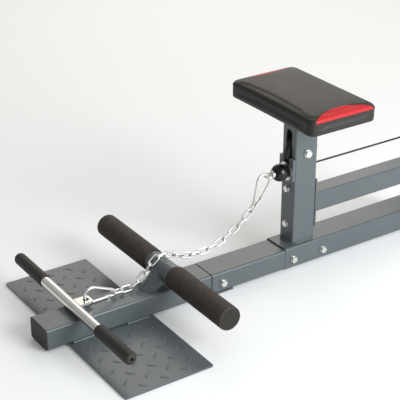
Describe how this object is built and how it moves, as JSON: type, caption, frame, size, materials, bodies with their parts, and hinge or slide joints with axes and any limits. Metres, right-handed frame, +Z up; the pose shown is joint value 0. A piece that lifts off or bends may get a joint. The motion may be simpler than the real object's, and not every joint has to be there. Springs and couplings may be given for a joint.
{
  "type": "roman chair",
  "caption": "Front station of a cable machine: floor rail, foot plate, foam foot hold, seat on a slotted post, low cable, chain and straight bar.",
  "frame": {"origin": "on the floor, at the middle of the overall length and width", "axes": "+X along the rail from the foot plate towards the machine, +Y to the left of someone looking along +X, +Z up"},
  "size_m": [1.312, 0.658, 0.518],
  "materials": {
    "frame_paint": "semi-gloss anthracite powder coat on steel",
    "cap_plastic": "moulded black-brown polypropylene",
    "foam": "matte closed-cell foam with a fine skin",
    "zinc": "bright zinc plate",
    "bearing_steel": "ground steel",
    "pulley_nylon": "black glass-filled nylon",
    "cable_coating": "smooth black nylon coat over steel strand",
    "ball_rubber": "moulded black rubber",
    "bar_chrome": "satin chrome plate",
    "grip_rubber": "slip-on black rubber grip",
    "plywood": "raw plywood",
    "seat_vinyl": "black vinyl with red end inserts"
  },
  "bodies": {
    "frame": {"front_beam": "frame_paint", "middle_beam": "frame_paint", "base_rail": "frame_paint", "seat_post": "frame_paint", "upper_rail": "frame_paint", "upper_rail_front_flange": "frame_paint", "upper_rail_rear_flange": "frame_paint", "base_rail_rear_flange": "frame_paint", "ball_guide": "frame_paint", "roller_cross_tube": "frame_paint", "roller_stub": "frame_paint", "foot_plate": "frame_paint", "joint_floor_plate": "frame_paint", "seat_plate": "frame_paint", "foot_plate_welds": "frame_paint", "seat_post_welds": "frame_paint", "front_joint_sleeve": "frame_paint", "rear_joint_sleeve": "frame_paint", "front_end_cap": "cap_plastic", "roller_plug_left": "cap_plastic", "roller_plug_right": "cap_plastic", "frame_bolts": "zinc", "frame_nuts": "zinc", "frame_washers": "zinc", "pulley_axle": "zinc", "pulley_axle_nut": "zinc", "pulley_axle_washers": "zinc", "pulley_spacers": "bearing_steel", "bearing_inner_ring": "bearing_steel", "seat_screws": "zinc", "seat_board": "plywood", "seat_cushion": "seat_vinyl"},
    "pulley": {"cable_pulley": "pulley_nylon", "bearing_outer_ring": "bearing_steel", "bearing_balls": "bearing_steel"},
    "cable": {"cable": "cable_coating", "ball_stop": "ball_rubber", "ball_washer": "zinc", "cable_front_eye": "zinc", "cable_rear_eye": "zinc"},
    "rear_hook": {"rear_hook": "zinc", "rear_hook_gate_pin": "zinc"},
    "rear_gate": {"rear_hook_gate": "zinc"},
    "chain_upper": {"chain_upper": "zinc"},
    "chain_middle": {"chain_middle": "zinc"},
    "chain_lower": {"chain_lower": "zinc"},
    "front_hook": {"front_hook": "zinc", "front_hook_gate_pin": "zinc"},
    "front_gate": {"front_hook_gate": "zinc"},
    "handle": {"handle_bar": "bar_chrome", "handle_lug": "zinc", "handle_grip_left": "grip_rubber", "handle_grip_right": "grip_rubber"},
    "left_roller": {"foam_roller_left": "foam"},
    "right_roller": {"foam_roller_right": "foam"}
  },
  "joints": [
    {"name": "cable_pull", "type": "slide", "parent": "frame", "child": "cable", "axis": [-1, 0, 0], "range_m": [0, 0.3]},
    {"name": "pulley_spin", "type": "hinge", "parent": "frame", "child": "pulley", "pos_m": [0.18, 0, 0.3435], "axis": [0, 1, 0], "range_deg": [-5, 341.37]},
    {"name": "rear_hook_swing", "type": "hinge", "parent": "cable", "child": "rear_hook", "pos_m": [0.05825, 0, 0.2924], "axis": [0, 1, 0], "range_deg": [0, 44]},
    {"name": "rear_gate_open", "type": "hinge", "parent": "rear_hook", "child": "rear_gate", "pos_m": [0.04312, 0, 0.2266], "axis": [0, -1, 0], "range_deg": [0, 22], "stiffness_Nm_per_rad": 0.05, "springref_deg": -11.46},
    {"name": "chain_upper_swing", "type": "hinge", "parent": "rear_hook", "child": "chain_upper", "pos_m": [0.03081, -0.00006, 0.22167], "axis": [0, 1, 0], "range_deg": [0, 20]},
    {"name": "chain_middle_swing", "type": "hinge", "parent": "chain_upper", "child": "chain_middle", "pos_m": [-0.23811, 0.00826, 0.13348], "axis": [0, 1, 0], "range_deg": [0, 20]},
    {"name": "chain_lower_swing", "type": "hinge", "parent": "chain_middle", "child": "chain_lower", "pos_m": [-0.34588, 0.01164, 0.0873], "axis": [0, 1, 0], "range_deg": [0, 9]},
    {"name": "front_hook_swing", "type": "hinge", "parent": "chain_lower", "child": "front_hook", "pos_m": [-0.43055, 0.012, 0.07753], "axis": [0, 1, 0], "range_deg": [0, 20]},
    {"name": "front_gate_open", "type": "hinge", "parent": "front_hook", "child": "front_gate", "pos_m": [-0.44141, 0.012, 0.0693], "axis": [0, 1, 0], "range_deg": [0, 22], "stiffness_Nm_per_rad": 0.05, "springref_deg": -11.46},
    {"name": "handle_swing", "type": "hinge", "parent": "front_hook", "child": "handle", "pos_m": [-0.4912, 0.012, 0.0903], "axis": [0, 1, 0], "range_deg": [0, 60]},
    {"name": "left_roller_spin", "type": "hinge", "parent": "frame", "child": "left_roller", "pos_m": [-0.275, 0.182, 0.1066], "axis": [0, 1, 0], "continuous": true},
    {"name": "right_roller_spin", "type": "hinge", "parent": "frame", "child": "right_roller", "pos_m": [-0.275, -0.182, 0.1066], "axis": [0, 1, 0], "continuous": true}
  ],
  "couplings": [
    {"joint": "cable_pull", "follows": "rear_hook_swing", "m_per_rad": 0.385},
    {"joint": "pulley_spin", "follows": "rear_hook_swing", "ratio": 7.5342}
  ]
}
